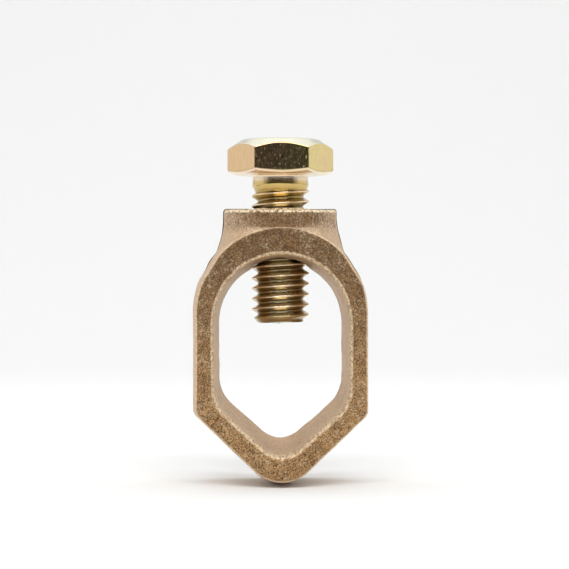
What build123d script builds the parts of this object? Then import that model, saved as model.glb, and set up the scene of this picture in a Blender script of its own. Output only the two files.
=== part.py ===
from build123d import *
from math import asin, atan, cos, degrees, radians, sin, sqrt, tan
import os

# An earth rod clamp: a cast ring with a V seat for the rod and a tapped boss above it, and the
# hexagon-head screw that presses the rod into the seat. Millimetres, +Z up. The origin is the
# middle of the foot, the ring's opening runs along Y and the screw stands on the Z axis.

# The screw: 5/16-18 UNC, right-handed, drawn at the outside diameter of its thread.
thread_diameter = 7.9375
neck_diameter = 7.55
neck_length = 1.2
runout_length = 0.9
screw_length = 20.15
tip_diameter = 6.3
tip_chamfer_length = 0.8

# The hexagon head.
head_across_flats = 12.7
head_height = 4.85
head_top_circle = 10.6
head_top_angle = 34.0
head_bearing_circle = 12.3
head_bearing_angle = 30.0
head_blank_margin = 1.0

# The ring casting, on its parting plane (y = 0), where it is widest outside and narrowest inside.
ring_depth = 16.0
ring_half_width = 12.04
arch_centre_height = 23.5
flank_angle = 46.3
flank_apex_height = -1.65
outer_corner_radius = 1.6
outer_foot_radius = 3.0

# The opening for the rod, on the parting plane.
opening_half_width = 8.46
opening_arch_drop = 1.45
seat_angle = 47.9
seat_apex_height = 4.86
seat_corner_radius = 4.6
seat_bottom_radius = 4.1

# How far the draft draws each surface back between the parting plane and a face.
outer_draft = 0.8
opening_draft = 1.0
seat_draft = 1.45
seat_side_step = 0.05
face_edge_chamfer = 0.3

# The tapped boss.
boss_diameter = 15.4
boss_rise = 2.13
boss_edge_chamfer = 0.35
boss_root_radius = 6.0
boss_root_steps = 3
bore_clearance = 0.05
bore_lead_in = 0.5

# The screw's place at rest: the gap between the boss and the underside of the head.
head_gap = 4.68

# Heights that follow from the sizes above.
opening_arch_height = arch_centre_height - opening_arch_drop
boss_top_height = arch_centre_height + ring_half_width + boss_rise

# Which end of a cylinder or box stands on the origin, and how near counts as touching a face.
standing = (Align.CENTER, Align.CENTER, Align.MIN)
hanging = (Align.CENTER, Align.CENTER, Align.MAX)
touching = 0.0001


def edges_through(shape):
    """The edges that run from the parting plane to a face, lowest first."""
    through = [edge for edge in shape.edges() if abs((edge @ 0).Y - (edge @ 1).Y) > ring_depth / 4]
    return ShapeList(through).sort_by(Axis.Z)


def drafted_form(half_width, arch_centre, apex, angle, draft, corner, bottom):
    """A six-sided form with an arched top, drafted from the parting plane to both faces.

    The draft draws the form in towards the faces, or opens it out where it is negative. Its two
    lower corners and the bottom of its V are rounded.
    """
    corner_height = apex + half_width / tan(radians(angle))
    half_depth = ring_depth / 2
    with BuildSketch(Plane.XZ) as outline:
        with BuildLine():
            Polyline(
                (half_width, arch_centre),
                (half_width, corner_height),
                (0, apex),
                (-half_width, corner_height),
                (-half_width, arch_centre),
            )
            ThreePointArc(
                (-half_width, arch_centre),
                (0, arch_centre + half_width),
                (half_width, arch_centre),
            )
        make_face()
    draft_angle = degrees(atan(draft / half_depth))
    halves = []
    for amount in (half_depth, -half_depth):
        half = extrude(outline.sketch.face(), amount=amount, taper=draft_angle)
        half = fillet(edges_through(half)[1:3], corner)
        halves.append(fillet(edges_through(half)[0], bottom))
    return halves[0] + halves[1]


def opening_form(half_width, draft):
    """The opening, or its lower part, opening out from the parting plane to the faces."""
    return drafted_form(
        half_width,
        opening_arch_height,
        seat_apex_height,
        seat_angle,
        -draft,
        seat_corner_radius,
        seat_bottom_radius,
    )


def edges_on_faces(shape):
    """The edges that lie in the two flat faces of the ring."""
    half_depth = ring_depth / 2
    on_faces = []
    for edge in shape.edges():
        places = (edge @ 0, edge @ 0.5, edge @ 1)
        if all(abs(abs(place.Y) - half_depth) < touching for place in places):
            on_faces.append(edge)
    return ShapeList(on_faces)


def turned(*profile):
    """A solid turned about Z from a closed profile of radius and height pairs."""
    with BuildPart() as builder:
        with BuildSketch(Plane.XZ):
            with BuildLine():
                Polyline(*profile, close=True)
            make_face()
        revolve(axis=Axis.Z)
    return builder.part


def boss_root_sections():
    """Level sections of the boss root, which flares along X on an arc that touches the arch."""
    boss_radius = boss_diameter / 2
    arc_centre_x = boss_radius + boss_root_radius
    centre_distance = ring_half_width + boss_root_radius
    arc_centre_rise = sqrt(centre_distance**2 - arc_centre_x**2)
    arc_centre_z = arch_centre_height + arc_centre_rise
    arc_turn = asin(arc_centre_rise / centre_distance)
    for step in range(boss_root_steps + 1):
        turn = arc_turn * step / boss_root_steps
        half_x = arc_centre_x - boss_root_radius * cos(turn)
        with BuildSketch(Plane.XY.offset(arc_centre_z - boss_root_radius * sin(turn))) as sketch:
            Ellipse(half_x, boss_radius)
        yield sketch.sketch.face()


def boss():
    """The round boss with its flared root, before it is bored."""
    sections = list(boss_root_sections())
    root_top = sections[0].center().Z
    shaft = Cylinder(boss_diameter / 2, boss_top_height - root_top, align=standing)
    shaft = Pos(0, 0, root_top) * shaft
    shaft = chamfer(shaft.edges().sort_by(Axis.Z)[-1], boss_edge_chamfer)
    return shaft + loft(sections)


def screw_bore():
    """What is bored out of the boss: the hole for the screw and its lead-in at the top."""
    bore_radius = thread_diameter / 2 + bore_clearance
    return turned(
        (0, opening_arch_height),
        (bore_radius, opening_arch_height),
        (bore_radius, boss_top_height - bore_lead_in),
        (bore_radius + 2 * bore_lead_in, boss_top_height + bore_lead_in),
        (0, boss_top_height + bore_lead_in),
    )


def clamp_body():
    """The ring, its boss, the opening for the rod and the bore for the screw, as one casting."""
    blank = drafted_form(
        ring_half_width,
        arch_centre_height,
        flank_apex_height,
        flank_angle,
        outer_draft,
        outer_corner_radius,
        outer_foot_radius,
    )
    blank = chamfer(edges_on_faces(blank), face_edge_chamfer)
    seat_half_width = opening_half_width + opening_draft - seat_draft - seat_side_step
    ring = blank - opening_form(opening_half_width, opening_draft)
    ring = ring - opening_form(seat_half_width, seat_draft)
    below_foot = Box(ring_depth, ring_depth, ring_depth, align=hanging)
    return ring - below_foot + boss() - screw_bore()


def shank():
    """The shank hanging from z = 0: the plain neck, the threaded length and the chamfered tip."""
    crest_radius = thread_diameter / 2
    neck_radius = neck_diameter / 2
    return turned(
        (0, 0),
        (neck_radius, 0),
        (neck_radius, -neck_length),
        (crest_radius, -neck_length - runout_length),
        (crest_radius, tip_chamfer_length - screw_length),
        (tip_diameter / 2, -screw_length),
        (0, -screw_length),
    )


def hex_head():
    """The head standing on z = 0, its corners chamfered at the top and under the bearing face."""
    corner_radius = head_across_flats / 2 / cos(radians(30))
    clear_radius = corner_radius + head_blank_margin
    top_fall = (clear_radius - head_top_circle / 2) * tan(radians(head_top_angle))
    bearing_rise = (clear_radius - head_bearing_circle / 2) * tan(radians(head_bearing_angle))
    with BuildPart() as prism:
        with BuildSketch():
            RegularPolygon(head_across_flats / 2, 6, major_radius=False)
        extrude(amount=head_height)
    turned_blank = turned(
        (0, 0),
        (head_bearing_circle / 2, 0),
        (clear_radius, bearing_rise),
        (clear_radius, head_height - top_fall),
        (head_top_circle / 2, head_height),
        (0, head_height),
    )
    return prism.part & turned_blank


def clamp_screw():
    """The screw in its place at rest, its tip hanging into the ring's opening."""
    return Pos(0, 0, boss_top_height + head_gap) * (shank() + hex_head())


os.makedirs("parts", exist_ok=True)
export_step(clamp_body(), "parts/clamp_body.step")
export_step(clamp_screw(), "parts/clamp_screw.step")
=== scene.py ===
from types import SimpleNamespace

import bpy
import numpy as np
from bpy.props import FloatProperty, FloatVectorProperty, PointerProperty
from bpy.types import Operator, Panel, PropertyGroup
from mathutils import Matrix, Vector


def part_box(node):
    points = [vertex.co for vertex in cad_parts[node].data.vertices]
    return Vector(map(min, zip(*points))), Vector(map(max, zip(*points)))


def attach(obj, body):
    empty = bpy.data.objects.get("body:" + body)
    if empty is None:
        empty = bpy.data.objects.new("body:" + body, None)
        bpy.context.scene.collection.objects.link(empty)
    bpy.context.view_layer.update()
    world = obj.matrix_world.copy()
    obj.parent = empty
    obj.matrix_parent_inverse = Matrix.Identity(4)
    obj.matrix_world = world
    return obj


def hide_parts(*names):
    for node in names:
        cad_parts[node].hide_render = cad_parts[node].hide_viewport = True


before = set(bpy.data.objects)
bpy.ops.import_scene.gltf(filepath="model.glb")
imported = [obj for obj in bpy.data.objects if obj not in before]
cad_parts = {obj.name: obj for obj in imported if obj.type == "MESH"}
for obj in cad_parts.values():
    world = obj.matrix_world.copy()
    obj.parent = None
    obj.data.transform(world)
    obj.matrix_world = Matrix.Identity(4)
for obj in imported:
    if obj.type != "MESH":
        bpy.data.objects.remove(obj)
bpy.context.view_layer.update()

bl_info = {
    "name": "Earth rod clamp",
    "version": (1, 0, 0),
    "blender": (4, 5, 0),
    "location": "3D View > Sidebar > Rod Clamp",
    "description": "Builds the cast ring and boss, the hexagon-head screw and their finishes",
    "category": "Add Mesh",
}

MM = 0.001
BODY_HALF_WIDTH, BODY_HALF_DEPTH, BODY_TOP = np.array(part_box("clamp_body")[1]) / MM
SCREW_TIP, SCREW_TOP = (np.array(corner)[2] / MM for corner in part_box("clamp_screw"))

# Roundings of the ring's outer edges and of the boss's rim, in millimetres.
OUTER_EDGE, RIM = 0.5, 0.4


# Surfaces: every piece is a grid of points worked out as whole arrays, in millimetres.


def lattice_noise(points, scale, seed):
    """Smooth noise between -1 and 1: random values on a cubic lattice, blended by a cubic step."""
    size = 48
    table = np.random.default_rng(seed).uniform(-1, 1, (size, size, size))
    place = points / scale
    cell = np.floor(place).astype(int)
    part = place - cell
    part = part * part * (3 - 2 * part)
    total = np.zeros(points.shape[:-1])
    for corner in np.ndindex(2, 2, 2):
        step = np.array(corner)
        index = (cell + step) % size
        weight = np.prod(np.where(step == 1, part, 1 - part), axis=-1)
        total += weight * table[index[..., 0], index[..., 1], index[..., 2]]
    return total


def soft_min(first, second, blend):
    """The lesser of two values, eased over blend where they meet."""
    return (first + second - np.sqrt((first - second) ** 2 + blend**2)) / 2


def soft_max(first, second, blend):
    """The greater of two values, eased over blend where they meet."""
    return (first + second + np.sqrt((first - second) ** 2 + blend**2)) / 2


def smooth_step(values, low, high):
    """0 below low, 1 above high, eased between."""
    share = np.clip((values - low) / (high - low), 0, 1)
    return share * share * (3 - 2 * share)


def bell(values, middle, spread):
    """A bell curve, exp(-((value - middle) / spread)^2)."""
    return np.exp(-(((values - middle) / spread) ** 2))


def grid_normals(points):
    """Unit normals of a grid that wraps both ways: the cross product of its two differences."""
    across = np.roll(points, -1, axis=1) - np.roll(points, 1, axis=1)
    along = np.roll(points, -1, axis=0) - np.roll(points, 1, axis=0)
    normals = np.cross(along, across)
    length = np.linalg.norm(normals, axis=-1, keepdims=True)
    return normals / np.maximum(length, 1e-12)


def faces_of(*corners):
    """Faces from the indices of their corners, each a number or an array."""
    corners = np.stack(np.broadcast_arrays(*corners), axis=-1)
    return corners.reshape(-1, corners.shape[-1]).tolist()


def quads_between(row, following, column, beside):
    """Quads between neighbouring rows, given by their starts, and neighbouring columns."""
    return faces_of(row + column, following + column, following + beside, row + beside)


def ring_faces(rows, columns):
    """Quads of a grid whose rows and columns both wrap."""
    row, column = np.arange(rows)[:, None] * columns, np.arange(columns)[None, :]
    return quads_between(row, np.roll(row, -1, axis=0), column, np.roll(column, -1))


def sheet_faces(rows, columns):
    """Quads of an open grid."""
    row, column = np.arange(rows - 1)[:, None] * columns, np.arange(columns - 1)[None, :]
    return quads_between(row, row + columns, column, column + 1)


def poled_faces(rows, columns, offset=0):
    """Faces of a grid round an axis whose first and last columns are poles, kept once each."""
    inner = columns - 2
    row, column = offset + 1 + np.arange(rows)[:, None] * inner, np.arange(inner - 1)[None, :]
    following = np.roll(row, -1, axis=0)
    last, end = offset + 1 + rows * inner, inner - 1
    first_fan = faces_of(offset, following, row)
    last_fan = faces_of(last, row + end, following + end)
    return quads_between(row, following, column, column + 1) + first_fan + last_fan


def poled_points(grid):
    """The points of a grid round an axis, each pole kept once."""
    first = grid[:, 0].mean(axis=0)[None, :]
    last = grid[:, -1].mean(axis=0)[None, :]
    return np.concatenate([first, grid[:, 1:-1].reshape(-1, 3), last])


def turned_grid(angle, radius, height):
    """Points round the Z axis from angles (rows, 1), radii and heights (rows, columns)."""
    angle, radius, height = np.broadcast_arrays(angle, radius, height)
    return np.stack([radius * np.cos(angle), radius * np.sin(angle), height], axis=-1)


def rounded_path(corners, radii, arc_steps, edge_steps, closed):
    """A path per station: straight runs between corners rounded by parabolic arcs.

    corners is (stations, corners, 3). Each corner is replaced by the curve
    (1-t)^2 start + 2t(1-t) corner + t^2 end, whose ends lie a radius away along both runs. An open
    path keeps its first and last corners sharp.
    """
    count = corners.shape[1]
    most_of_run = 0.48
    radii = np.asarray(radii, dtype=float)[None, :, None]
    back = np.roll(corners, 1, axis=1) - corners
    ahead = np.roll(corners, -1, axis=1) - corners
    back_length = np.maximum(np.linalg.norm(back, axis=-1, keepdims=True), 1e-9)
    ahead_length = np.maximum(np.linalg.norm(ahead, axis=-1, keepdims=True), 1e-9)
    start = corners + back / back_length * np.minimum(radii, back_length * most_of_run)
    end = corners + ahead / ahead_length * np.minimum(radii, ahead_length * most_of_run)
    arc = np.linspace(0, 1, arc_steps)[None, None, :, None]
    bends = (
        (1 - arc) ** 2 * start[:, :, None]
        + 2 * arc * (1 - arc) * corners[:, :, None]
        + arc**2 * end[:, :, None]
    )
    rows = []
    for index in range(count):
        sharp = not closed and index in (0, count - 1)
        rows.append(corners[:, index][:, None] if sharp else bends[:, index])
        if closed or index < count - 1:
            run = np.linspace(0, 1, edge_steps[index] + 2)[1:-1][None, :, None]
            leave = corners[:, index] if sharp else end[:, index]
            following = (index + 1) % count
            last = not closed and following == count - 1
            arrive = corners[:, following] if last else start[:, following]
            rows.append(leave[:, None] * (1 - run) + arrive[:, None] * run)
    return np.concatenate(rows, axis=1)


def arc_points(centre, radius, start, stop, steps):
    """Points on a circular arc from the start angle up to, but not including, the stop angle."""
    angle = np.linspace(start, stop, steps, endpoint=False)
    x, y = centre[0] + radius * np.cos(angle), centre[1] + radius * np.sin(angle)
    return np.stack([x, y], axis=1)


def line_points(start, stop, steps):
    """Evenly spaced points on a straight run, without its last point."""
    share = np.linspace(0, 1, steps, endpoint=False)[:, None]
    return np.asarray(start)[None, :] * (1 - share) + np.asarray(stop)[None, :] * share


# The casting.


def shoulder_fall(share):
    """How far the outer arch falls short of its ellipse over the shoulders: a bell curve of the
    share of the half width, d exp(-((share - place) / spread)^2)."""
    deepest, place, spread = 0.5, 0.84, 0.09
    return deepest * bell(np.abs(share), place, spread)


def ring_outline(half_width, arch_centre, arch_rise, apex, angle, corner, bottom, fall=0):
    """The ring's outline in its own plane: half an ellipse over straight sides and a rounded V.

    It runs from the right springing of the arch over the top, down the left side, round the V and
    up the right side, with the same number of points on each stretch for every outline. The flanks
    lie at the angle from upright and would meet at the apex. corner and bottom are the radii of the
    lower corners and of the foot, and fall is 1 where the shoulders fall away.
    """
    side_steps, corner_steps, flank_steps, bottom_steps, arch_steps = 54, 18, 48, 36, 150
    turn, down, bottom_half = np.radians(angle), -np.pi / 2, np.radians(90 - angle)
    bottom_span = (down - bottom_half, down + bottom_half)
    bottom_centre = apex + bottom / np.sin(turn)
    bottom_touch = np.array([bottom * np.cos(turn), bottom_centre - bottom * np.sin(turn)])
    corner_height = apex + half_width / np.tan(turn) + corner * np.tan(turn / 2)
    centre = np.array([half_width - corner, corner_height])
    flank_top = centre + corner * np.array([np.cos(turn), -np.sin(turn)])
    mirror = np.array([-1.0, 1.0])
    over = np.linspace(0, np.pi, arch_steps, endpoint=False)
    arch_height = arch_centre + arch_rise * np.sin(over) - fall * shoulder_fall(np.cos(over))
    stretches = [
        np.stack([half_width * np.cos(over), arch_height], axis=1),
        line_points((-half_width, arch_centre), centre * mirror - (corner, 0), side_steps),
        arc_points(centre * mirror, corner, np.pi, np.pi + turn, corner_steps),
        line_points(flank_top * mirror, bottom_touch * mirror, flank_steps),
        arc_points((0, bottom_centre), bottom, *bottom_span, bottom_steps),
        line_points(bottom_touch, flank_top, flank_steps),
        arc_points(centre, corner, -turn, 0, corner_steps),
        line_points(centre + (corner, 0), (half_width, arch_centre), side_steps),
    ]
    return np.concatenate(stretches)


def station_points(outline, depth):
    """An outline of the ring placed at one depth along the rod."""
    return np.stack([outline[:, 0], np.full(len(outline), depth), outline[:, 1]], axis=1)


def ring_surface(sizes):
    """The ring as a closed tube: a six-cornered section carried round the ring's outline.

    At each station the section runs over the front face, down the opening's draft to its ridge on
    the parting plane, back up to the rear face and over the outer draft, its corners rounded.
    """
    outer = {"arch_centre": sizes.arch_height, "angle": sizes.flank_angle, "fall": 1}
    inner = {"arch_centre": sizes.opening_arch, "angle": sizes.seat_angle}
    drawn = BODY_HALF_WIDTH - sizes.outer_draft
    drawn_apex = sizes.flank_apex + sizes.outer_draft / np.sin(np.radians(sizes.flank_angle))
    opening = sizes.opening_half_width
    open_width, open_rise = opening + sizes.opening_draft, opening + 1.2 * sizes.opening_draft
    open_apex = sizes.seat_apex - sizes.seat_draft / np.sin(np.radians(sizes.seat_angle))
    half, apex = BODY_HALF_WIDTH, sizes.flank_apex
    outer_mid = ring_outline(half, arch_rise=half, apex=apex, corner=1.6, bottom=4.83, **outer)
    outer_face = ring_outline(
        drawn, arch_rise=drawn, apex=drawn_apex, corner=1.5, bottom=5.2, **outer
    )
    inner_mid = ring_outline(
        opening, arch_rise=opening, apex=sizes.seat_apex, corner=4.6, bottom=4.1, **inner
    )
    inner_face = ring_outline(
        open_width, arch_rise=open_rise, apex=open_apex, corner=5.2, bottom=3.6, **inner
    )
    section = [
        (outer_face, -BODY_HALF_DEPTH),
        (inner_face, -BODY_HALF_DEPTH),
        (inner_mid, 0.0),
        (inner_face, BODY_HALF_DEPTH),
        (outer_face, BODY_HALF_DEPTH),
        (outer_mid, 0.0),
    ]
    corners = np.stack([station_points(*place) for place in section], axis=1)
    inner_edge, ridge, arc_steps, face_steps, draft_steps = 0.9, 0.45, 9, 9, 18
    radii = [OUTER_EDGE, inner_edge, ridge, inner_edge, OUTER_EDGE, ridge]
    steps = [face_steps, draft_steps, draft_steps, face_steps, draft_steps, draft_steps]
    return rounded_path(corners, radii, arc_steps, steps, closed=True)


def ring_top(x, y, sizes):
    """Height of the ring's outer surface over a place on the arch, rounded off at the faces."""
    reach = BODY_HALF_WIDTH - sizes.outer_draft * np.minimum(np.abs(y) / BODY_HALF_DEPTH, 1)
    over = np.clip(np.abs(y) - (BODY_HALF_DEPTH - OUTER_EDGE), 0, OUTER_EDGE)
    rounding = OUTER_EDGE - np.sqrt(OUTER_EDGE**2 - over**2)
    arch = reach * np.sqrt(np.clip(1 - (x / reach) ** 2, 0, 1)) - shoulder_fall(x / reach)
    return sizes.arch_height + arch - rounding


def boss_crown(angle, radius, sizes):
    """The boss's top and its rounded rim, from the axis outward.

    A ragged lip stands round the bore, highest in front, and the mould's rear half stands a little
    higher than the front one, whose top falls gently forward. A heap of flash stands on the rear
    half's edge beside the thread.
    """
    mouth, in_bore_steps, flat_steps, bend_steps = 4.0, 6, 34, 8
    lip_flat, lip_fade, heap_x, heap_spread = 0.15, 0.22, -4.6, 0.7
    rear_edge, forward_slope, front_drop = 0.3, 0.026, 0.12
    bend = np.linspace(0, np.pi / 2, bend_steps)
    in_bore = np.linspace(0, mouth - 0.1, in_bore_steps)
    flat = np.concatenate([in_bore, np.linspace(mouth, radius - RIM, flat_steps)[:-1]])
    reach = np.concatenate([flat, radius - RIM + RIM * np.sin(bend)])[None, :]
    over_rim = BODY_TOP - RIM + RIM * np.cos(bend)
    height = np.concatenate([np.full_like(flat, BODY_TOP), over_rim])[None, :]
    crown = turned_grid(angle, reach, height)
    away = reach - sizes.bore_diameter / 2
    depth = crown[..., 1]
    in_front = smooth_step(-depth / (np.clip(away, 0, None) + mouth), 0.35, 0.85)
    ragged = 0.85 + 0.35 * lattice_noise(crown * (1, 1, 0), scale=0.9, seed=21)
    ragged = ragged * (0.25 + 0.75 * in_front)
    lip = sizes.lip_height * ragged * bell(np.clip(away - lip_flat, 0, None), 0, lip_fade)
    heap = bell(crown[..., 0], heap_x, heap_spread)
    wave = 0.5 + 0.3 * lattice_noise(crown * (1, 0.3, 0), scale=2.5, seed=22) + 0.9 * heap
    rear = smooth_step(depth, 0.0, rear_edge) * sizes.rear_rise * wave
    crown[..., 2] += forward_slope * np.clip(depth, None, 0) + np.maximum(lip, rear) - front_drop
    return crown


def boss_surface(sizes):
    """The boss as a closed turned shape whose root flares out and lands on the ring.

    Round the axis, the height of the root over the ring falls from the boss wall as a quarter of an
    ellipse, H (1 - sqrt(1 - (1 - d/F)^2)). F is how far the root spreads, less where the ring's
    face is near, and H grows with it but stays under the rim. The last rows dip under the ring's
    skin and close on the axis inside it. The rows crowd together near the mould's joint.
    """
    row_count, crowding, root_steps, wall_steps = 220, 0.4, 18, 16
    face_margin, rim_margin, rise_per_spread, rise_blend = 0.12, 0.15, 2.6, 0.3
    dips, core_radius, core_cover = (0.25, 0.9), 5.0, 1.6
    radius = sizes.boss_diameter / 2
    even = np.linspace(0, 2 * np.pi, row_count, endpoint=False)[:, None]
    angle = even - crowding * np.sin(2 * even)
    crown = boss_crown(angle, radius, sizes)
    rim = crown[:, -1:, 2]
    sine = np.abs(np.sin(angle))
    room = (BODY_HALF_DEPTH - face_margin - radius * sine) / np.maximum(sine, 0.05)
    spread = np.minimum(sizes.root_spread, room)
    share = (1 - np.cos(np.linspace(0, np.pi / 2, root_steps)))[None, :]
    out = radius + spread * share
    skin = ring_top(out * np.cos(angle), out * np.sin(angle), sizes)
    room_above = rim - rim_margin - skin[:, :1]
    tallest = np.minimum(soft_min(rise_per_spread * spread, room_above, rise_blend), room_above)
    root = skin + tallest * (1 - np.sqrt(np.clip(1 - (1 - share) ** 2, 0, 1)))
    run = np.linspace(0, 1, wall_steps)[1:-1][None, :]
    wall = rim * (1 - run) + root[:, :1] * run
    core = sizes.opening_arch + sizes.opening_half_width + core_cover
    ones = np.ones_like(angle)
    end = out[:, -1:] + 0.05
    radii = [radius * np.ones_like(wall), out, end, end, core_radius * ones, 0 * ones]
    heights = [wall, root, *(root[:, -1:] - dip for dip in dips), core * ones, core * ones]
    below = turned_grid(angle, np.concatenate(radii, axis=1), np.concatenate(heights, axis=1))
    return np.concatenate([crown, below], axis=1)[:, ::-1]


def bore_surface(sizes):
    """The tool that bores the boss: a plain cylinder from inside the opening to above the lip."""
    row_count, above = 128, 2.0
    radius = sizes.bore_diameter / 2
    low, high = sizes.opening_arch, BODY_TOP + above
    angle = np.linspace(0, 2 * np.pi, row_count, endpoint=False)[:, None]
    radii, heights = np.array([[0, radius, radius, 0]]), np.array([[low, low, high, high]])
    return turned_grid(angle, radii, heights)


def outside_ring(points):
    """True on the ring's outer side, split from the opening's side halfway through the wall."""
    arch_centre, arch_radius, springing, foot, slope = 22.8, 10.3, 22, 1.5, 0.93
    side, height = np.abs(points[..., 0]), points[..., 2]
    arch = np.hypot(side, height - arch_centre) > arch_radius
    below = (side > arch_radius) | (height < foot + slope * side)
    return np.where(height > springing, arch, below)


def seam_share(points):
    """How strong the line of the mould's joint is: strongest on the shoulders and boss, fainter in
    the opening, and nearly gone on the ring's outside below them. It's just behind the middle."""
    fade_low, fade_high, faintest, in_opening, behind, spread = 25.0, 31.0, 0.1, 0.5, 0.08, 0.14
    shoulder = faintest + (1 - faintest) * smooth_step(points[..., 2], fade_low, fade_high)
    strength = np.where(outside_ring(points), shoulder, in_opening)
    return strength * bell(points[..., 1], behind, spread)


def cast_skin(points, normals, sizes):
    """Points moved along their normals by two sizes of lattice noise, as sand leaves a casting,
    and by the flash that stands on the mould's joint."""
    swell = lattice_noise(points, scale=2.4, seed=11) * sizes.swell
    grain = lattice_noise(points, scale=0.7, seed=12) * sizes.grain
    ragged = 0.8 + 0.6 * lattice_noise(points, scale=1.6, seed=13)
    flash = sizes.flash * ragged * seam_share(points)
    return points + normals * (swell + grain + flash)[..., None]


def make_piece(name, points, faces):
    """One mesh object from points in millimetres, smooth shaded."""
    mesh = bpy.data.meshes.new(name)
    mesh.from_pydata(points.reshape(-1, 3) * MM, [], faces)
    mesh.validate()
    mesh.shade_smooth()
    piece = bpy.data.objects.new(name, mesh)
    bpy.context.scene.collection.objects.link(piece)
    return piece


def poled_piece(name, grid):
    """One mesh object from a grid round an axis."""
    return make_piece(name, poled_points(grid), poled_faces(*grid.shape[:2]))


def read_points(mesh, items, name):
    """A vector property of a mesh's points as an array of rows."""
    values = np.empty(len(mesh.vertices) * 3)
    items.foreach_get(name, values)
    return values.reshape(-1, 3)


def read_piece(piece):
    """The places of a piece's points in millimetres, and its normals there."""
    mesh = piece.data
    places = read_points(mesh, mesh.vertices, "co") / MM
    return places, read_points(mesh, mesh.vertex_normals, "vector")


def write_values(piece, **values_by_name):
    """One number for each point of a piece under each name, for its finish to read."""
    for name, values in values_by_name.items():
        layer = piece.data.attributes.new(name, "FLOAT", "POINT")
        layer.data.foreach_set("value", values.astype(np.float32))


def combine(piece, other, operation):
    """Joins or cuts one piece with another, which is then removed."""
    modifier = piece.modifiers.new("combine", "BOOLEAN")
    modifier.operation = operation
    modifier.solver = "EXACT"
    modifier.object = other
    depsgraph = bpy.context.evaluated_depsgraph_get()
    mesh = bpy.data.meshes.new_from_object(piece.evaluated_get(depsgraph))
    piece.modifiers.clear()
    old = piece.data
    piece.data = mesh
    bpy.data.meshes.remove(old)
    bpy.data.objects.remove(other)


def mark_casting(piece, sizes):
    """Point attributes for the finish: face on the flat faces and, on the boss, as painted shade
    darkest where it faces forward; edge on the rubbed edges, also painted highlight where they
    catch the light; sandy where the grain shows; and seam along the mould's joint, painted dark as
    the flash's shadow.

    Each is a product of eased steps in the points' places and in how far their normals turn
    forward or back (across) and up.
    """
    places, normals = read_piece(piece)
    across, upward = np.abs(normals[:, 1]), normals[:, 2]
    depth, height = places[:, 1], places[:, 2]
    outside = outside_ring(places)
    boss_foot, boss_shown = sizes.arch_height + 10.6, sizes.arch_height + 11.9
    on_boss = smooth_step(height, boss_foot, boss_shown)
    on_ring = 1 - on_boss
    boss_front_shade, boss_grain = 0.7, 0.8
    flat = smooth_step(across, 0.80, 0.95) * smooth_step(np.abs(depth), 7.0, 7.5)
    # On the boss, face is painted shade: the dark face colour is strongest where the boss faces
    # forward and gives way to the lighter side colour as it turns away.
    face = flat * on_ring + boss_front_shade * smooth_step(across, 0.3, 0.95) * on_boss
    sandy = np.maximum(face, boss_grain * smooth_step(across, 0.02, 0.4) * on_boss)
    # The edge mark is real wear and painted highlight together: rounded edges, the opening's front
    # edge and the boss's rim get the bright worn colour, strongest where they turn towards the
    # lights.
    outer_rub, inner_wear_and_highlight, mouth_wear_and_highlight, rim_highlight = 0.8, 2.2, 0.55, 2.4
    edge_middle, edge_spread, steepest = 0.56, 0.32, 0.6
    rubbed = np.where(outside, outer_rub, inner_wear_and_highlight)
    near_face = smooth_step(np.abs(depth), 6.5, 7.0)
    off_face = 1 - smooth_step(across, 0.84, 0.96)
    edge = rubbed * bell(across, edge_middle, edge_spread) * near_face * off_face * on_ring
    mouth = mouth_wear_and_highlight * smooth_step(np.abs(depth), 4.5, 7.3) * (across < steepest)
    edge = np.maximum(edge, np.where(outside, 0, mouth))
    rim = smooth_step(height, BODY_TOP - 0.98, BODY_TOP - 0.72) * smooth_step(upward, 0.02, 0.3)
    edge = np.maximum(edge, rim_highlight * rim)
    # rear_edge marks the top edge of the boss's rear half, painted dark as the shadow of that
    # raised edge.
    rear_edge = smooth_step(depth, -0.1, 0.1) * (1 - smooth_step(depth, 0.4, 0.9))
    rear_edge = rear_edge * smooth_step(height, BODY_TOP - 0.15, BODY_TOP - 0.02)
    seam = np.maximum(seam_share(places), rear_edge)
    write_values(piece, seam=seam, face=face, sandy=sandy, edge=edge)


def build_casting(sizes):
    """The casting as one closed surface: the ring, the boss on its arch and the bore through both.

    On the boss, the skin leaves out the rows under the ring's surface and those in the bore, and
    moves its top straight up or down. The top stays under the head's place when it is fully down.
    """
    hidden_rows, shown_rows, in_bore, rim_inside, top_depth, blend = 3, 10, 3.95, 0.35, 0.5, 0.05
    ring = ring_surface(sizes)
    ring = cast_skin(ring, grid_normals(ring), sizes)
    ring[..., 2] = np.maximum(ring[..., 2], 0)
    casting = make_piece("bronze_casting", ring, ring_faces(*ring.shape[:2]))
    boss = boss_surface(sizes)
    reach = np.hypot(boss[..., 0], boss[..., 1])
    on_top = (boss[..., 2] > BODY_TOP - top_depth) & (reach < sizes.boss_diameter / 2 - rim_inside)
    normals = grid_normals(boss)
    normals[on_top] = (0, 0, 1)
    shown = smooth_step(np.arange(boss.shape[1]), hidden_rows, shown_rows) * (reach > in_bore)
    boss = boss + (cast_skin(boss, normals, sizes) - boss) * shown[..., None]
    boss[..., 2] = soft_min(boss[..., 2], BODY_TOP + sizes.head_room, blend)
    combine(casting, poled_piece("boss", boss), "UNION")
    combine(casting, poled_piece("bore", bore_surface(sizes)), "DIFFERENCE")
    mark_casting(casting, sizes)
    return casting


# The screw.


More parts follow.
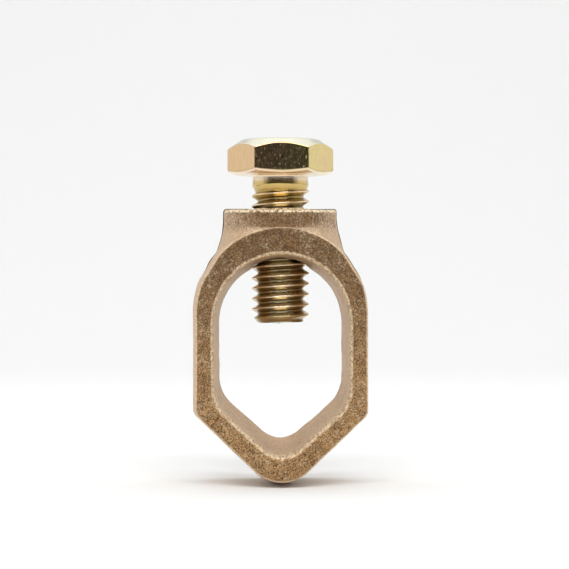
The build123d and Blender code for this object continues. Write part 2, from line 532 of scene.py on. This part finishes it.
def thread_profile(sizes):
    """One pitch of the thread: places along it (0 to 1) and the radius there.

    A 60 degree V, r = crest - (d - w) / tan(30), where d is the distance from the crest's middle
    and w half its flat, eased into the crest and the root.
    """
    half_flat, crest_blend, root_blend = 0.075, 0.05, 0.12
    on_crest, on_flank, in_root = (0, 0.12, 7), (0.16, 0.36, 5), (0.40, 0.5, 5)
    place = np.concatenate([np.linspace(*span) for span in (on_crest, on_flank, in_root)])
    place = np.concatenate([place, 1 - place[-2:0:-1]])
    crest = sizes.thread_diameter / 2
    distance = np.minimum(place, 1 - place) * sizes.thread_pitch
    flank = crest - (distance - half_flat) / np.tan(np.radians(30))
    radius = soft_min(flank, crest, crest_blend)
    return place, soft_max(radius, crest - sizes.thread_depth, root_blend)


def shank_surface(sizes):
    """The shank as points (stations, columns): columns follow the helix, so crests stay crisp.

    A column lies at z = start + pitch (turn + angle / 2 pi). Below the tip the points draw in to
    the axis over the flat end, and above the thread they blend into the waisted neck and close
    inside the head.
    """
    stations, spare_turns = 120, 3
    tip_slope, tip_blend, tip_rise, waist_depth = 0.9, 0.10, 0.1, 0.05
    runout_length, runout_end, crest_blend, fillet_size, closing = 2.2, 0.5, 0.04, 0.3, 0.4
    place, profile = thread_profile(sizes)
    count = len(place)
    under_head = SCREW_TOP - sizes.head_height
    pitch = sizes.thread_pitch
    turn = np.arange(stations)[:, None] / stations
    angle = 2 * np.pi * turn
    turns = int(np.ceil((under_head - SCREW_TIP) / pitch)) + spare_turns
    along = (np.arange(turns)[:, None] + place[None, :]).ravel()[None, :]
    start = sizes.thread_phase + pitch * (np.floor((SCREW_TIP - sizes.thread_phase) / pitch) - 2)
    height = start + pitch * (along + turn)
    radius = np.broadcast_to(np.tile(profile, turns)[None, :], height.shape)
    tip_edge = SCREW_TIP + 0.10 * np.sin(angle + 0.6) + 0.06 * np.sin(3 * angle)
    envelope = sizes.tip_diameter / 2 + tip_slope * (height - tip_edge)
    radius = soft_min(radius, envelope, tip_blend)
    neck = sizes.neck_diameter / 2
    thread_end = under_head - sizes.neck_length
    runout = smooth_step(height, thread_end - runout_length, thread_end)
    floor_radius = sizes.thread_diameter / 2 - sizes.thread_depth
    filled = floor_radius + (neck - 0.02 - floor_radius) * runout
    radius = soft_max(radius, filled, crest_blend)
    on_neck = smooth_step(height, thread_end - runout_end, thread_end)
    radius = radius * (1 - on_neck) + neck * on_neck
    waist = (height - under_head + sizes.neck_length / 2) / (sizes.neck_length / 2)
    radius = radius - waist_depth * np.clip(1 - waist**2, 0, 1)
    fillet = np.clip((height - (under_head - fillet_size)) / fillet_size, 0, 1)
    radius = radius + fillet_size * (1 - np.sqrt(1 - fillet**2))
    above = np.clip((height - under_head) / (height[:, -1:] - under_head), 0, 1)
    radius = np.where(height > under_head, (neck + fillet_size) * (1 - above), radius)
    height = np.where(height > under_head, under_head + closing * above, height)
    first = height[:, :1] - 0.02
    below = np.clip((height - first) / (tip_edge - first), 0, 1)
    end_radius = sizes.tip_diameter / 2 - 0.05
    radius = np.where(height < tip_edge, end_radius * below, radius)
    height = np.where(height < tip_edge, tip_edge - tip_rise * (1 - below), height)
    return turned_grid(angle, radius, height), count


def shank_faces(stations, columns, shift):
    """Faces of the helical grid: its last station meets the first one turn of columns further on.

    The columns left over at each end close in fans, and a pole closes each end on the axis. The
    poles' points follow the grid's: first the lower, then the upper.
    """
    last, high_pole = (stations - 1) * columns, stations * columns + 1
    column = np.arange(columns - shift - 1)
    seam = faces_of(last + column, column + shift, column + shift + 1, last + column + 1)
    column = np.arange(columns - shift - 1, columns - 1)
    upper = faces_of(last + column, columns - 1, last + column + 1)
    column = np.arange(shift)
    lower = faces_of(last, column, column + 1)
    start, end = np.arange(stations) * columns, columns - 1
    following = np.roll(start, -1)
    low_fan = faces_of(high_pole - 1, following, start)
    high_fan = faces_of(high_pole, start + end, following + end)
    return sheet_faces(stations, columns) + seam + upper + lower + low_fan + high_fan


def head_surface(sizes):
    """The hexagon head: at each angle a rounded profile from the axis under it to the axis on top.

    The hexagon's radius is 1 / (sum of (cos(angle - face) / apothem)^p)^(1/p), whose high power p
    leaves the six upright edges slightly round. The rows crowd together on those edges.
    """
    sector_steps, crowding, power = 36, 1.7, 110
    steps = np.linspace(-1, 1, sector_steps, endpoint=False)
    sector = np.radians(30) * np.sign(steps) * np.abs(steps) ** crowding
    angle = (np.radians(60) * np.arange(6)[:, None] + sector[None, :]).reshape(-1, 1)
    faces = np.radians(30 + 60 * np.arange(6))[None, :]
    apothem = sizes.across_flats / 2
    reach = np.clip(np.cos(angle - faces) / apothem, 0, None)
    radius = np.sum(reach**power, axis=1) ** (-1 / power)
    under = SCREW_TOP - sizes.head_height
    corner = radius - apothem
    bearing = radius - sizes.foot_round - 0.6 * corner
    rise = 0.5 * sizes.foot_round + 0.3 * corner
    crown = sizes.top_circle / 2
    fall = (radius - crown) * np.tan(np.radians(sizes.top_angle))
    profile = [
        (0, under),
        (bearing, under),
        (radius, under + rise),
        (radius, SCREW_TOP - fall),
        (crown, SCREW_TOP),
        (0, SCREW_TOP),
    ]
    zero = np.zeros_like(radius)
    places = [np.stack([zero + out, zero, zero + up], axis=-1) for out, up in profile]
    radii, steps, arc_steps = [0, 0.3, 0.3, 0.12, 0.3, 0], [16, 2, 26, 8, 16, 0], 8
    path = rounded_path(np.stack(places, axis=1), radii, arc_steps, steps, closed=False)
    return turned_grid(angle, path[..., 0], path[..., 2])


def mark_screw(piece, sizes):
    """Point attributes for the finish: groove by the depth in the thread, head, the head's crown,
    which takes a painted reflection of the light above, and what faces down under it, which
    takes a painted reflection of the floor."""
    places, normals = read_piece(piece)
    height, upward = places[:, 2], normals[:, 2]
    under_head = SCREW_TOP - sizes.head_height
    crest = sizes.thread_diameter / 2
    depth = (crest - np.hypot(places[:, 0], places[:, 1])) / sizes.thread_depth
    thread_end = under_head - sizes.neck_length
    in_thread = 1 - smooth_step(height, thread_end - 0.4, under_head - 0.3)
    head = smooth_step(height, under_head - 0.1, under_head + 0.1)
    # crown: the head's upward faces, for a painted reflection of the light above.
    crown = head * smooth_step(upward, 0.3, 0.7)
    # under: the head's downward faces, for a painted reflection of the floor.
    under = head * smooth_step(-upward, 0.1, 0.5)
    groove = np.clip(depth, 0, 1) * in_thread
    write_values(piece, groove=groove, head=head, crown=crown, under=under)


def build_screw(sizes):
    """The screw: the helical shank and the hexagon head, which overlap under the head. The head
    has shallow dents."""
    dent_size, dent_depth = 0.9, 0.010
    shank, count = shank_surface(sizes)
    poles = np.stack([shank[:, 0].mean(axis=0), shank[:, -1].mean(axis=0)])
    shank_points = np.concatenate([shank.reshape(-1, 3), poles])
    head = head_surface(sizes)
    dent = lattice_noise(head, scale=dent_size, seed=31) * dent_depth
    head = head + grid_normals(head) * dent[..., None]
    faces = shank_faces(*shank.shape[:2], count)
    faces += poled_faces(*head.shape[:2], offset=len(shank_points))
    piece = make_piece("set_screw", np.concatenate([shank_points, poled_points(head)]), faces)
    mark_screw(piece, sizes)
    return piece


# Finishes.


def with_alpha(colour):
    """A colour with full opacity. A socket is left as it is."""
    return colour if isinstance(colour, bpy.types.NodeSocket) else (*colour[:3], 1.0)


class NodeTree:
    """A node tree with short calls to add nodes and join them."""

    def __init__(self, tree):
        self.tree = tree

    def feed(self, node, inputs):
        """Joins each input of a node to the socket given for it, or sets it to the value given."""
        for name, value in inputs.items():
            if isinstance(value, bpy.types.NodeSocket):
                self.tree.links.new(value, node.inputs[name])
            else:
                node.inputs[name].default_value = value

    def add(self, kind, inputs=None, **settings):
        node = self.tree.nodes.new(kind)
        for name, value in settings.items():
            setattr(node, name, value)
        self.feed(node, inputs or {})
        return node

    def attribute(self, name):
        return self.add("ShaderNodeAttribute", attribute_name=name).outputs["Fac"]

    def noise(self, vector, scale, detail=2.0, roughness=0.5):
        inputs = {"Vector": vector, "Scale": scale, "Detail": detail, "Roughness": roughness}
        return self.add("ShaderNodeTexNoise", inputs).outputs["Fac"]

    def scaled(self, vector, scale, turn=(0, 0, 0)):
        """The vector turned and stretched, so that a texture's marks are drawn out."""
        inputs = {"Vector": vector, "Scale": scale, "Rotation": turn}
        return self.add("ShaderNodeMapping", inputs).outputs["Vector"]

    def ramp(self, value, low, high):
        """The value mapped from low..high to 0..1, smoothly, and clamped."""
        inputs = {"Value": value, "From Min": low, "From Max": high}
        node = self.add("ShaderNodeMapRange", inputs, interpolation_type="SMOOTHSTEP")
        return node.outputs["Result"]

    def between(self, value, at_zero, at_one):
        """The value mapped evenly from 0..1 to the two values given, and clamped."""
        inputs = {"Value": value, "To Min": at_zero, "To Max": at_one}
        return self.add("ShaderNodeMapRange", inputs).outputs["Result"]

    def maths(self, operation, first, second):
        node = self.add("ShaderNodeMath", {0: first, 1: second}, operation=operation)
        return node.outputs["Value"]

    def times(self, first, second):
        return self.maths("MULTIPLY", first, second)

    def plus(self, first, second):
        return self.maths("ADD", first, second)

    def blend(self, share, first, second):
        """Two colours mixed by a share."""
        inputs = {0: share, 6: with_alpha(first), 7: with_alpha(second)}
        return self.add("ShaderNodeMix", inputs, data_type="RGBA").outputs[2]

    def layered(self, base, layers):
        """A base colour with others laid over it in turn, each by its share."""
        for share, colour in layers:
            base = self.blend(share, base, colour)
        return base


def new_group(name, inputs, masks):
    """A shader node group: its tree, the node of its inputs and the node of its output masks."""
    tree = bpy.data.node_groups.new(name, "ShaderNodeTree")
    for label, kind in inputs.items():
        tree.interface.new_socket(label, in_out="INPUT", socket_type=kind)
    for label in masks:
        tree.interface.new_socket(label, in_out="OUTPUT", socket_type="NodeSocketFloat")
    nodes = NodeTree(tree)
    return nodes, nodes.add("NodeGroupInput").outputs, nodes.add("NodeGroupOutput")


def sand_grain_group():
    """Sand-cast grain: a height for the bump, and masks of dark pits and bright grains.

    Size is the number of grains in a metre. The height is mostly the fine noise, and the bright
    grains stand in crowds.
    """
    coarse_size, other_size, crowd_size, fine_share = 0.33, 0.8, 0.12, 0.85
    inputs = {"Vector": "NodeSocketVector", "Size": "NodeSocketFloat"}
    nodes, source, result = new_group("sand_grain", inputs, ("Height", "Pits", "Glints"))
    vector, size = source["Vector"], source["Size"]
    fine = nodes.times(nodes.noise(vector, size, 5.0, 0.75), fine_share)
    coarse = nodes.times(nodes.noise(vector, nodes.times(size, coarse_size)), 1 - fine_share)
    height = nodes.plus(fine, coarse)
    other = nodes.noise(vector, nodes.times(size, other_size), 4.0, 0.7)
    crowd = nodes.noise(vector, nodes.times(size, crowd_size))
    glints = nodes.times(nodes.ramp(other, 0.50, 0.64), nodes.ramp(crowd, 0.36, 0.60))
    pits = nodes.ramp(height, 0.60, 0.40)
    nodes.feed(result, {"Height": height, "Pits": pits, "Glints": glints})
    return nodes.tree


def metal_marks_group():
    """Marks on the plating: fine upright and level lines, sparse slanted specks, stains and a slow
    tint. The scales are numbers of marks in a metre."""
    upright_scale, level_scale, stain_scale, tint_scale = 5200, 4200, 420, 260
    names = ("Upright", "Level", "Specks", "Stain", "Tint")
    nodes, source, result = new_group("metal_marks", {"Vector": "NodeSocketVector"}, names)
    vector = source["Vector"]
    upright, level = nodes.scaled(vector, (1, 1, 0.12)), nodes.scaled(vector, (0.1, 0.1, 1))
    slanted = nodes.scaled(vector, (1, 1, 0.3), turn=(0, 0.5, 0))
    marks = {
        "Upright": nodes.noise(upright, upright_scale, 3.0, 0.7),
        "Level": nodes.noise(level, level_scale, 3.0, 0.7),
        "Specks": nodes.ramp(nodes.noise(slanted, upright_scale, 4.0, 0.8), 0.585, 0.70),
        "Stain": nodes.noise(vector, stain_scale, 3.0, 0.6),
        "Tint": nodes.noise(vector, tint_scale, 1.0, 0.4),
    }
    nodes.feed(result, marks)
    return nodes.tree


def new_material(name):
    """A material with its tree, Principled BSDF and object coordinates."""
    material = bpy.data.materials.new(name)
    material.use_nodes = True
    material.node_tree.nodes.clear()
    nodes = NodeTree(material.node_tree)
    shader = nodes.add("ShaderNodeBsdfPrincipled")
    nodes.add("ShaderNodeOutputMaterial", {"Surface": shader.outputs["BSDF"]})
    place = nodes.add("ShaderNodeTexCoord").outputs["Object"]
    return material, nodes, shader, place


def finish_metal(nodes, shader, colour, metallic, roughness, bump):
    """Joins a metal's colour, roughness and bump to its shader."""
    normal = nodes.add("ShaderNodeBump", bump).outputs["Normal"]
    inputs = {"Base Color": colour, "Metallic": metallic, "Roughness": roughness, "Normal": normal}
    nodes.feed(shader, inputs)


def cast_bronze(sizes):
    """Sand-cast bronze: brown speckled faces that turn lighter and warmer towards the foot as
    painted light from the floor's bounce, lighter drafted sides, edges rubbed bright and painted as
    highlights, and a dark line along the mould's joint painted as the flash's shadow."""
    broad_scale, patch_scale, ragged_scale, rub_scale = 300, 800, 3000, 2600
    crown_height, foot_height = 0.036, 0.002
    material, nodes, shader, place = new_material("cast_bronze")
    inputs = {"Vector": place, "Size": 1 / (sizes.grain_size * MM)}
    grain = nodes.add("ShaderNodeGroup", inputs, node_tree=sand_grain_group()).outputs
    patch = nodes.ramp(nodes.noise(place, patch_scale, 4.0, 0.65), 0.40, 0.60)
    side = nodes.blend(patch, sizes.side_colour, sizes.side_warm_colour)
    # Painted light: the flat faces turn lighter and warmer from the crown down to the foot,
    # standing in for the light the floor throws back up onto them.
    height = nodes.add("ShaderNodeSeparateXYZ", {"Vector": place}).outputs["Z"]
    broad = nodes.times(nodes.noise(place, broad_scale), 0.5)
    lower = nodes.plus(nodes.ramp(height, crown_height, foot_height), broad)
    flat = nodes.blend(nodes.ramp(lower, 0.12, 1.25), sizes.face_colour, sizes.face_floor_bounce_colour)
    ragged = nodes.times(nodes.noise(place, ragged_scale, 2.0, 0.6), 0.6)
    # face carries the flat faces and, on the boss, the painted shade of its front.
    on_face = nodes.ramp(nodes.plus(nodes.attribute("face"), ragged), 0.55, 1.05)
    pits = nodes.times(grain["Pits"], nodes.between(nodes.attribute("sandy"), 0.30, 0.95))
    # Painted highlight with real wear: the bright worn colour on the edge mark, broken up by noise.
    rub = nodes.ramp(nodes.noise(place, rub_scale, 3.0, 0.7), 0.40, 0.62)
    rubbed = nodes.times(nodes.times(nodes.attribute("edge"), rub), 0.9)
    bright = nodes.maths("MAXIMUM", nodes.times(grain["Glints"], 0.38), rubbed)
    # Painted shadow: the flash on the mould's joint and the rear half's top edge are painted near
    # black.
    joint = nodes.times(nodes.ramp(nodes.attribute("seam"), 0.1, 0.6), 0.9)
    layers = [
        (on_face, flat),
        (pits, sizes.pit_colour),
        (bright, sizes.worn_and_highlight_colour),
        (joint, sizes.seam_shadow_colour),
    ]
    roughness = nodes.between(grain["Height"], 0.58, 0.36)
    bump = {"Height": grain["Height"], "Distance": 0.00014, "Strength": 1.0}
    finish_metal(nodes, shader, nodes.layered(side, layers), 0.85, roughness, bump)
    return material


def yellow_zinc(sizes):
    """Yellow-chromate zinc on steel: gold with pink and green tints on the head, browner lower
    down, painted shade in the grooves and on the neck under the head, painted highlights on the
    crests, painted reflections on the head's chamfer, top and lower edge, and fine lines, upright
    on the head and level on the shank."""
    tint_per_metre, dark_blend = 90, 0.6
    material, nodes, shader, place = new_material("yellow_zinc")
    marks = nodes.add("ShaderNodeGroup", {"Vector": place}, node_tree=metal_marks_group()).outputs
    place = nodes.add("ShaderNodeSeparateXYZ", {"Vector": place}).outputs
    head, groove = nodes.attribute("head"), nodes.attribute("groove")
    side = nodes.plus(nodes.times(place["X"], tint_per_metre), marks["Tint"])
    tint = nodes.blend(nodes.ramp(side, 0.15, 0.85), sizes.peach_colour, sizes.green_colour)
    # The neck and upper thread are darkened as painted shade under the head.
    tint = nodes.blend(head, sizes.neck_shaded_colour, tint)
    dark_top, dark_foot = (sizes.shank_dark + dark_blend) * MM, (sizes.shank_dark - dark_blend) * MM
    # Painted highlight: a light line on the thread's crests.
    crest = nodes.times(nodes.ramp(groove, 0.12, 0.02), nodes.ramp(head, 0.6, 0.4))
    stain = nodes.times(nodes.ramp(marks["Stain"], 0.50, 0.68), head)
    layers = [
        (nodes.ramp(place["Z"], dark_top, dark_foot), sizes.shank_colour),
        # Painted shade: the thread's grooves darken with their depth.
        (nodes.times(nodes.ramp(groove, 0.15, 0.9), 0.6), sizes.groove_shade_colour),
        (nodes.times(crest, 0.7), sizes.crest_highlight_colour),
        (nodes.times(stain, 0.5), sizes.pink_colour),
        # Painted reflection of the floor on the head's lower edge.
        (nodes.times(nodes.attribute("under"), 0.8), sizes.under_floor_reflection_colour),
        # Painted reflection of the light above on the head's chamfer and top.
        (nodes.attribute("crown"), sizes.crown_reflection_colour),
    ]
    specks = nodes.times(marks["Specks"], head)
    inputs = {0: head, 2: marks["Level"], 3: marks["Upright"]}
    lines = nodes.add("ShaderNodeMix", inputs, data_type="FLOAT").outputs[0]
    roughness = nodes.plus(nodes.between(lines, 0.10, 0.27), nodes.times(specks, 0.30))
    off_head = nodes.maths("SUBTRACT", 1.0, head)
    roughness = nodes.plus(roughness, nodes.times(off_head, 0.06))
    height = nodes.maths("SUBTRACT", lines, nodes.times(specks, 0.65))
    bump = {"Height": height, "Distance": 0.00003, "Strength": 0.5}
    finish_metal(nodes, shader, nodes.layered(tint, layers), 1.0, roughness, bump)
    return material


def plain_material(name, colour):
    """A matt surface of one colour."""
    material, nodes, shader, _ = new_material(name)
    inputs = {"Base Color": with_alpha(colour), "Roughness": 0.9, "Specular IOR Level": 0.2}
    nodes.feed(shader, inputs)
    return material


# The stage: a pale sweep, soft lights on every side, a dark card behind the camera and the camera
# itself. Its measures are in metres.

MIDDLE = (0.0, 0.0, 0.024)
# Each light's name, place, target, size and power in watts.
LIGHTS = (
    ("left_box", (-0.45, 0.12, 0.26), MIDDLE, (0.6, 0.5), 0.58),
    ("right_box", (0.45, 0.12, 0.26), MIDDLE, (0.6, 0.5), 0.58),
    ("top_box", (0.0, 0.20, 0.50), MIDDLE, (0.8, 0.5), 0.85),
    ("key_box", (0.0, -0.38, 0.38), MIDDLE, (0.5, 0.22), 2.1),
    ("back_box", (0.0, 0.22, 0.45), (0.0, 0.62, 0.12), (0.8, 0.4), 0.42),
)


def sweep_surface():
    """The floor and backdrop in one: a flat floor that turns up behind on a quarter circle."""
    half_width, front, back, radius, top = 1.2, -0.8, 0.35, 0.25, 1.2
    width = np.linspace(-half_width, half_width, 3)[:, None]
    turn = np.linspace(0, np.pi / 2, 24)[None, :]
    depth = np.concatenate([[[front]], back + radius * np.sin(turn), [[back + radius]]], axis=1)
    height = np.concatenate([[[0.0]], radius - radius * np.cos(turn), [[top]]], axis=1)
    depth, height, width = np.broadcast_arrays(depth, height, width)
    return np.stack([width, depth, height], axis=-1) / MM


def card_surface():
    """A dark upright card behind the camera, which the front of the metal reflects: an arc of a
    circle round the screw's axis."""
    half_turn, radius, top = 56, 0.42, 0.24
    turn = np.radians(np.linspace(-half_turn, half_turn, 15))[:, None]
    height = np.array([[0.0, top]])
    x, y, height = np.broadcast_arrays(radius * np.sin(turn), -radius * np.cos(turn), height)
    return np.stack([x, y, height], axis=-1) / MM


def stage_sheet(name, points, material):
    """One open sheet of the stage in its material."""
    sheet = make_piece(name, points, sheet_faces(*points.shape[:2]))
    sheet.data.materials.append(material)
    return sheet


def area_light(name, place, target, size, power):
    """A rectangular area light aimed at a point."""
    data = bpy.data.lights.new(name, "AREA")
    data.shape = "RECTANGLE"
    data.size, data.size_y = size
    data.energy = power
    light = bpy.data.objects.new(name, data)
    bpy.context.scene.collection.objects.link(light)
    light.location = place
    light.rotation_euler = (Vector(target) - Vector(place)).to_track_quat("-Z", "Y").to_euler()
    light.visible_camera = False


def white_world(strength):
    """White behind everything for the camera, and a plain grey level for the light itself."""
    world = bpy.data.worlds.new("white_room")
    world.use_nodes = True
    nodes = NodeTree(world.node_tree)
    world.node_tree.nodes.clear()
    to_camera = nodes.add("ShaderNodeLightPath").outputs["Is Camera Ray"]
    inputs = {"Color": (1.0, 1.0, 1.0, 1.0), "Strength": nodes.between(to_camera, strength, 1.0)}
    background = nodes.add("ShaderNodeBackground", inputs)
    nodes.add("ShaderNodeOutputWorld", {"Surface": background.outputs["Background"]})
    bpy.context.scene.world = world


def place_camera(sizes):
    """The scene's camera, level and turned a little to the right of straight ahead."""
    data = bpy.data.cameras.new("camera")
    data.lens = sizes.lens
    camera = bpy.data.objects.new("camera", data)
    bpy.context.scene.collection.objects.link(camera)
    place = (sizes.camera_side, -sizes.camera_distance, sizes.camera_height)
    camera.location = Vector(place) * MM
    camera.rotation_euler = (np.radians(90), 0, -np.radians(sizes.aim_turn))
    bpy.context.scene.camera = camera


# Sizes and colours, kept on the scene.


def length(name, about, default):
    return FloatProperty(name=name, description=about, default=default, unit="LENGTH", precision=5)


def bend(name, about, degrees):
    default = np.radians(degrees)
    return FloatProperty(
        name=name, description=about, default=default, subtype="ANGLE", unit="ROTATION"
    )


def tone(place, default):
    name, about = place.capitalize(), "Colour of the " + place
    return FloatVectorProperty(
        name=name, description=about, default=default, subtype="COLOR", min=0, max=1
    )


class RodClampCasting(PropertyGroup):
    """Sizes and colours of the casting."""

    arch_height: length("Arch centre", "Height of the middle of the ring's outer arch", 0.0235)
    flank_apex: length("Flank apex", "Height where the outer flanks would meet", -0.0019)
    flank_angle: bend("Flank angle", "Angle of the outer flanks from upright", 46.3)
    outer_draft: length("Outer draft", "How far the outside draws in towards a face", 0.0005)
    opening_half_width: length("Opening", "Half the opening's width in the middle", 0.00846)
    opening_arch: length("Opening arch", "Height of the middle of the opening's arch", 0.02205)
    opening_draft: length("Opening draft", "How far the opening widens towards a face", 0.0007)
    seat_apex: length("Seat apex", "Height where the seat's flanks would meet", 0.00486)
    seat_angle: bend("Seat angle", "Angle of the seat's flanks from upright", 47.9)
    seat_draft: length("Seat draft", "How far the seat falls towards a face", 0.00145)
    boss_diameter: length("Boss diameter", "Diameter of the round boss", 0.0154)
    root_spread: length("Boss root", "How far the boss's root flares along the arch", 0.0014)
    bore_diameter: length("Bore", "Diameter of the bore at the thread's crests", 0.00806)
    head_room: length("Room for the head", "How far the lip may rise over the boss", 0.00005)
    lip_height: length("Lip", "Height of the ragged lip round the bore's mouth", 0.00045)
    rear_rise: length("Rear rise", "How far the rear half of the boss top stands up", 0.00036)
    flash: length("Flash", "Height of the flash on the mould's joint", 0.00017)
    swell: length("Skin swell", "Depth of the broad waves in the cast skin", 0.000035)
    grain: length("Skin grain", "Depth of the fine waves in the cast skin", 0.000020)
    grain_size: length("Grain size", "Size of a sand grain in the finish", 0.00021)
    face_colour: tone("flat faces at the top", (0.27, 0.155, 0.072))
    # At the foot the faces are lightened as painted light from the floor's bounce.
    face_floor_bounce_colour: tone("flat faces at the foot", (0.60, 0.35, 0.155))
    side_colour: tone("drafted sides", (0.67, 0.475, 0.31))
    side_warm_colour: tone("drafted sides' patches", (0.70, 0.48, 0.285))
    pit_colour: tone("grain's pits", (0.06, 0.035, 0.018))
    # Painted shadow along the flash on the mould's joint.
    seam_shadow_colour: tone("line on the mould's joint", (0.06, 0.04, 0.03))
    # Rubbed grains and edges; on the edges it is also a painted highlight.
    worn_and_highlight_colour: tone("grains and edges rubbed bright", (0.95, 0.80, 0.56))


class RodClampScrew(PropertyGroup):
    """Sizes and colours of the screw."""

    thread_diameter: length("Thread diameter", "Outside diameter of the thread", 0.0079375)
    thread_pitch: length("Thread pitch", "Travel in one turn", 0.0014111)
    thread_depth: length("Thread depth", "Depth of the thread", 0.000866)
    thread_phase: length("Thread phase", "Height of a crest on the +X side", 0.02745)
    neck_diameter: length("Neck diameter", "Diameter of the plain neck", 0.0077)
    neck_length: length("Neck length", "Length of the plain neck", 0.0012)
    tip_diameter: length("Tip diameter", "Diameter of the flat end", 0.0063)
    across_flats: length("Across flats", "Width of the hexagon across its flats", 0.0127)
    head_height: length("Head height", "Height of the hexagon head", 0.00485)
    top_circle: length("Top circle", "Diameter of the head's flat top", 0.0106)
    top_angle: bend("Top chamfer", "Slope of the head's top chamfer", 34.0)
    foot_round: length("Lower rounding", "Rounding of the head's lower edge", 0.00035)
    shank_dark: length("Darker below", "Height below which the plating is browner", 0.0385)
    peach_colour: tone("head's left side", (0.66, 0.455, 0.245))
    green_colour: tone("head's right side", (0.66, 0.53, 0.23))
    pink_colour: tone("stains on the head", (0.70, 0.43, 0.30))
    # Painted shade in the thread's grooves.
    groove_shade_colour: tone("thread's grooves", (0.17, 0.12, 0.06))
    # Plating on the neck and upper thread, darkened as painted shade under the head.
    neck_shaded_colour: tone("neck and upper thread", (0.60, 0.44, 0.165))
    # Painted highlight on the thread's crests.
    crest_highlight_colour: tone("thread's crests", (0.90, 0.76, 0.62))
    # Painted reflection of the light above on the head's chamfer and top.
    crown_reflection_colour: tone("head's chamfer and top", (0.72, 0.69, 0.56))
    # Painted reflection of the floor on the head's lower edge.
    under_floor_reflection_colour: tone("head's lower edge", (0.92, 0.78, 0.62))
    shank_colour: tone("lower thread", (0.58, 0.48, 0.29))


class RodClampStage(PropertyGroup):
    """The stage: the camera's place and the level of the lights."""

    camera_distance: length("Camera distance", "How far in front the camera stands", 0.28)
    camera_side: length("Camera side", "How far to the right of the axis it stands", -0.0073)
    camera_height: length("Camera height", "Height of the camera over the floor", 0.0273)
    lens: FloatProperty(
        name="Lens", description="Focal length in millimetres", default=128.7, unit="CAMERA"
    )
    aim_turn: bend("Aim", "How far the camera turns to the right of straight ahead", 1.609)
    floor_colour: tone("floor and backdrop", (0.872, 0.876, 0.872))
    room_level: FloatProperty(
        name="Room level", description="Strength of the even light", default=0.44
    )


def own_keys(group):
    """The names of a group's own properties."""
    return [key for key in group.bl_rna.properties.keys() if key not in ("rna_type", "name")]


def in_millimetres(group):
    """A group's values by name: its lengths in millimetres, its angles in degrees."""
    values = {}
    for key in own_keys(group):
        item, value = group.bl_rna.properties[key], getattr(group, key)
        if item.is_array:
            value = tuple(value)
        elif item.unit == "LENGTH":
            value = value / MM
        elif item.unit == "ROTATION":
            value = np.degrees(value)
        values[key] = value
    return SimpleNamespace(**values)


class RODCLAMP_OT_casting(Operator):
    """Build the cast ring and boss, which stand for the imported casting"""

    bl_idname = "rodclamp.casting"
    bl_label = "Casting"

    def execute(self, context):
        sizes = in_millimetres(context.scene.rod_clamp_casting)
        piece = build_casting(sizes)
        piece.data.materials.clear()
        piece.data.materials.append(cast_bronze(sizes))
        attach(piece, "casting")
        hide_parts("clamp_body")
        return {"FINISHED"}


class RODCLAMP_OT_screw(Operator):
    """Build the hexagon-head screw with its rolled thread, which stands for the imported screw"""

    bl_idname = "rodclamp.screw"
    bl_label = "Screw"

    def execute(self, context):
        sizes = in_millimetres(context.scene.rod_clamp_screw)
        piece = build_screw(sizes)
        piece.data.materials.append(yellow_zinc(sizes))
        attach(piece, "screw")
        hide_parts("clamp_screw")
        return {"FINISHED"}


class RODCLAMP_OT_stage(Operator):
    """Set the pale floor and backdrop, the lights and the camera"""

    bl_idname = "rodclamp.stage"
    bl_label = "Stage"

    def execute(self, context):
        sizes = in_millimetres(context.scene.rod_clamp_stage)
        paper = plain_material("pale_paper", sizes.floor_colour)
        floor = stage_sheet("pale_sweep", sweep_surface(), paper)
        for light in LIGHTS:
            area_light(*light)
        black = plain_material("black_card", (0.01, 0.01, 0.01))
        card = stage_sheet("dark_card", card_surface(), black)
        white_world(sizes.room_level)
        place_camera(sizes)
        context.scene.view_settings.view_transform = "Standard"
        return {"FINISHED"}


class RODCLAMP_PT_pieces(Panel):
    """The pieces of the clamp, each built by its own button"""

    bl_label = "Earth rod clamp"
    bl_idname = "RODCLAMP_PT_pieces"
    bl_space_type = "VIEW_3D"
    bl_region_type = "UI"
    bl_category = "Rod Clamp"

    def draw(self, context):
        for operator, group in PIECES:
            self.layout.operator(operator)
            values = getattr(context.scene, group)
            column = self.layout.column(align=True)
            for key in own_keys(values):
                column.prop(values, key)


PIECES = (
    ("rodclamp.casting", "rod_clamp_casting"),
    ("rodclamp.screw", "rod_clamp_screw"),
    ("rodclamp.stage", "rod_clamp_stage"),
)
CLASSES = (
    RodClampCasting,
    RodClampScrew,
    RodClampStage,
    RODCLAMP_OT_casting,
    RODCLAMP_OT_screw,
    RODCLAMP_OT_stage,
    RODCLAMP_PT_pieces,
)


def register():
    for item in CLASSES:
        bpy.utils.register_class(item)
    bpy.types.Scene.rod_clamp_casting = PointerProperty(type=RodClampCasting)
    bpy.types.Scene.rod_clamp_screw = PointerProperty(type=RodClampScrew)
    bpy.types.Scene.rod_clamp_stage = PointerProperty(type=RodClampStage)


def unregister():
    for name in ("rod_clamp_stage", "rod_clamp_screw", "rod_clamp_casting"):
        delattr(bpy.types.Scene, name)
    for item in reversed(CLASSES):
        bpy.utils.unregister_class(item)


def main():
    register()
    bpy.ops.rodclamp.stage()
    bpy.ops.rodclamp.casting()
    bpy.ops.rodclamp.screw()


if __name__ == "__main__":
    main()
